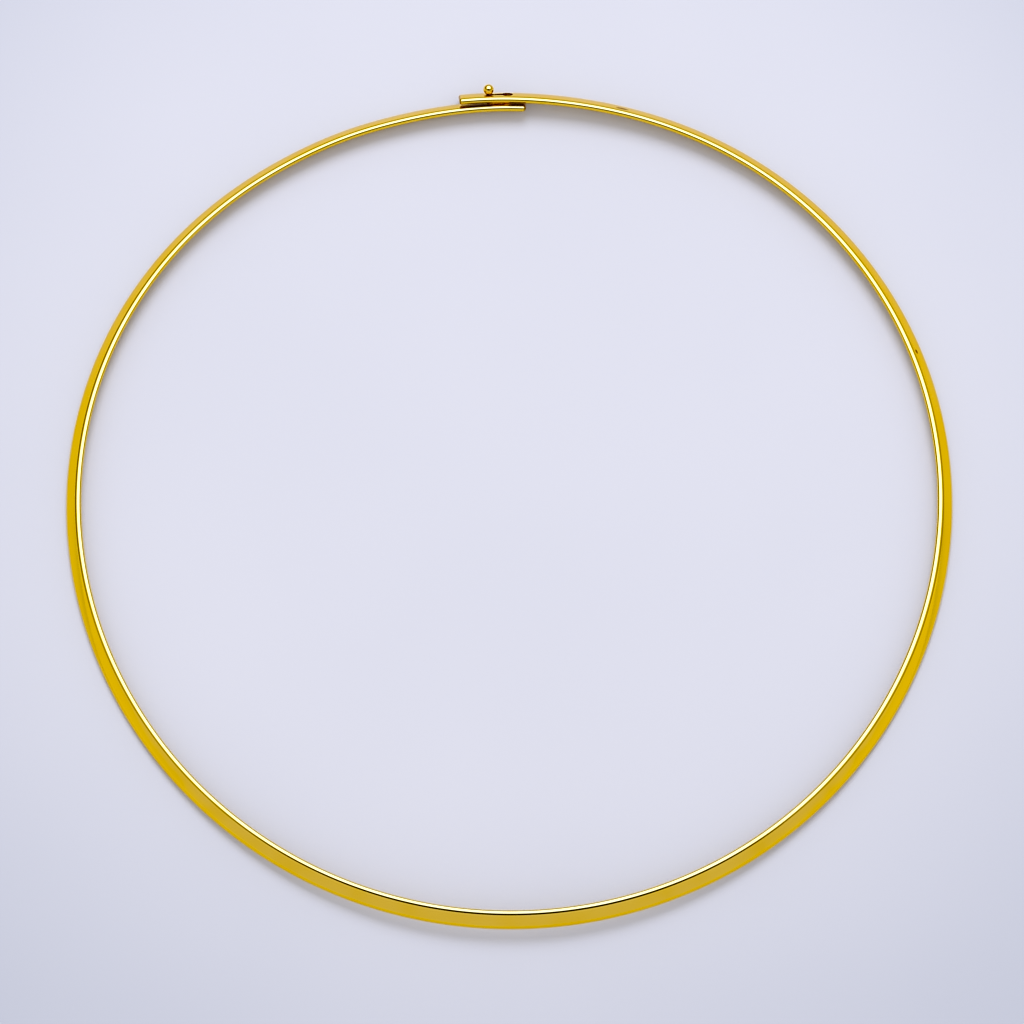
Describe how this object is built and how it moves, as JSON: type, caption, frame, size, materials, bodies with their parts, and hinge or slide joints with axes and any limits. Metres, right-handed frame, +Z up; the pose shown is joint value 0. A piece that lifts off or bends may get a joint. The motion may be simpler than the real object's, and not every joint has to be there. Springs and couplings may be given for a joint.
{
  "type": "collar necklace",
  "caption": "Rigid gold hoop collar of flat strip with rounded edges, whose ends overlap at the back and lock with a ball stud in a keyhole.",
  "frame": {"origin": "middle of the footprint, on the surface that the collar lies on", "axes": "+Z up from the surface, +Y towards the clasp at the back, -Y towards the front of the collar, +X to the wearer's left as it lies"},
  "size_m": [0.1402, 0.1406, 0.004],
  "materials": {
    "gold": "polished",
    "stud_gold": "polished"
  },
  "bodies": {
    "root": {"hoop": "gold", "ball_stud": "stud_gold"}
  },
  "joints": []
}
